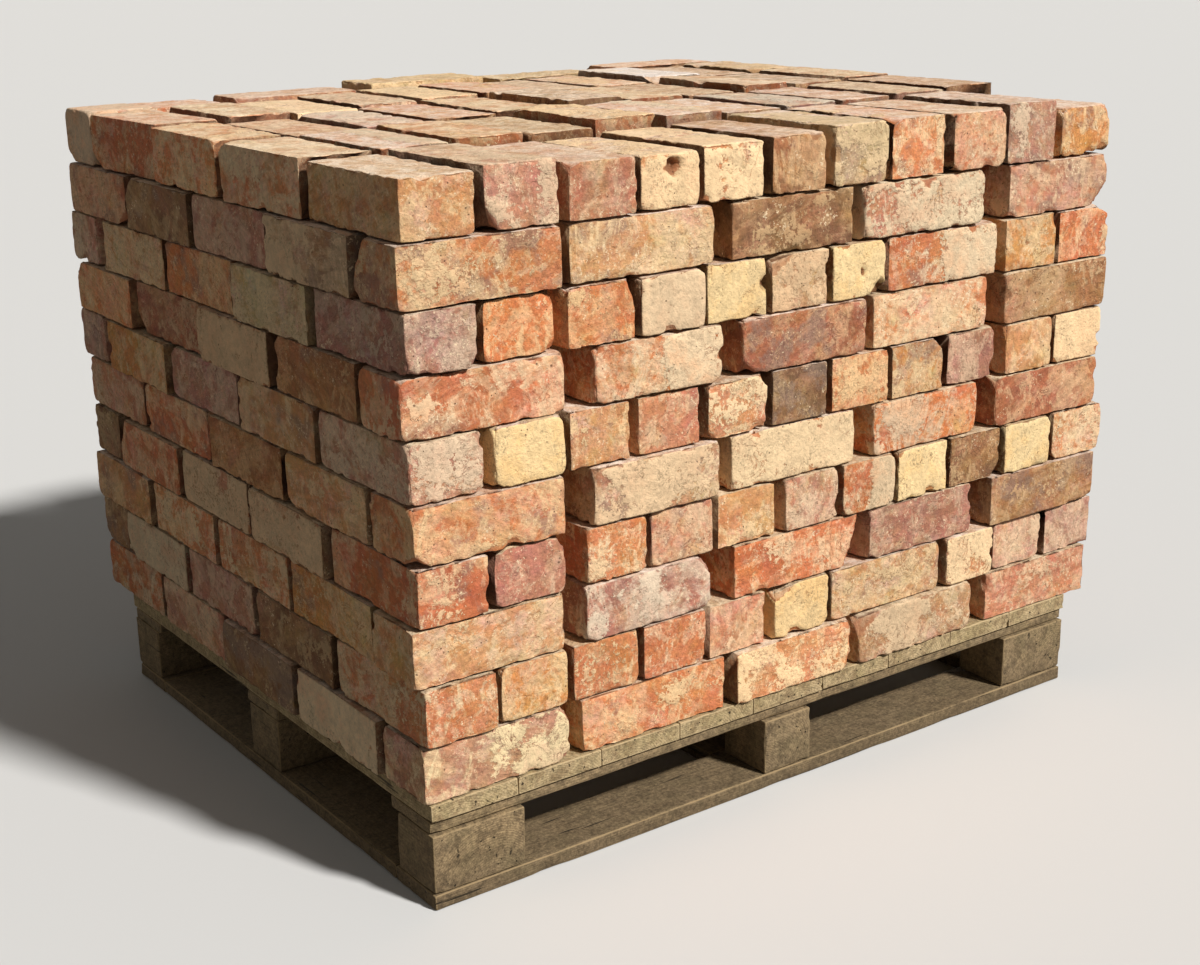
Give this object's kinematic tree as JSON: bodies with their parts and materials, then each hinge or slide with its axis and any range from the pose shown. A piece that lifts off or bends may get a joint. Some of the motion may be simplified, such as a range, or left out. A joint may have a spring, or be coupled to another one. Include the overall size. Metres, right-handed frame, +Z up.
{
  "type": "pallet of bricks",
  "caption": "Block pallet loaded with dry-stacked courses of reclaimed clay bricks, headers and stretchers alternating by course, with fork openings on all four sides.",
  "frame": {"origin": "middle of the pallet's footprint, on the ground, which is the underside of the middle base board", "axes": "+X to the right along the front, +Y to the back, +Z up"},
  "size_m": [1.2307, 1.0463, 0.92],
  "materials": {
    "reclaimed_brick": "matte fired clay, weathered, with old lime mortar on its faces",
    "deck_timber": "sawn softwood, weathered",
    "base_timber": "sawn softwood, damp and green with algae"
  },
  "bodies": {
    "root": {"base_board_back": "base_timber", "base_board_front": "base_timber", "base_board_left": "base_timber", "base_board_middle": "base_timber", "base_board_right": "base_timber", "block_back_left": "base_timber", "block_back_middle": "base_timber", "block_back_right": "base_timber", "block_front_left": "base_timber", "block_front_middle": "base_timber", "block_front_right": "base_timber", "block_middle_left": "base_timber", "block_middle_middle": "base_timber", "block_middle_right": "base_timber", "course_01": "reclaimed_brick", "course_01_inner": "reclaimed_brick", "course_02": "reclaimed_brick", "course_02_inner": "reclaimed_brick", "course_03": "reclaimed_brick", "course_03_inner": "reclaimed_brick", "course_04": "reclaimed_brick", "course_04_inner": "reclaimed_brick", "course_05": "reclaimed_brick", "course_05_inner": "reclaimed_brick", "course_06": "reclaimed_brick", "course_06_inner": "reclaimed_brick", "course_07": "reclaimed_brick", "course_07_inner": "reclaimed_brick", "course_08": "reclaimed_brick", "course_08_inner": "reclaimed_brick", "course_09": "reclaimed_brick", "course_09_inner": "reclaimed_brick", "course_10": "reclaimed_brick", "deck_board_1": "deck_timber", "deck_board_2": "deck_timber", "deck_board_3": "deck_timber", "deck_board_4": "deck_timber", "deck_board_5": "deck_timber", "deck_board_6": "deck_timber", "deck_board_7": "deck_timber", "deck_board_8": "deck_timber", "deck_board_9": "deck_timber", "stringer_back": "deck_timber", "stringer_front": "deck_timber", "stringer_middle": "deck_timber"}
  },
  "joints": []
}
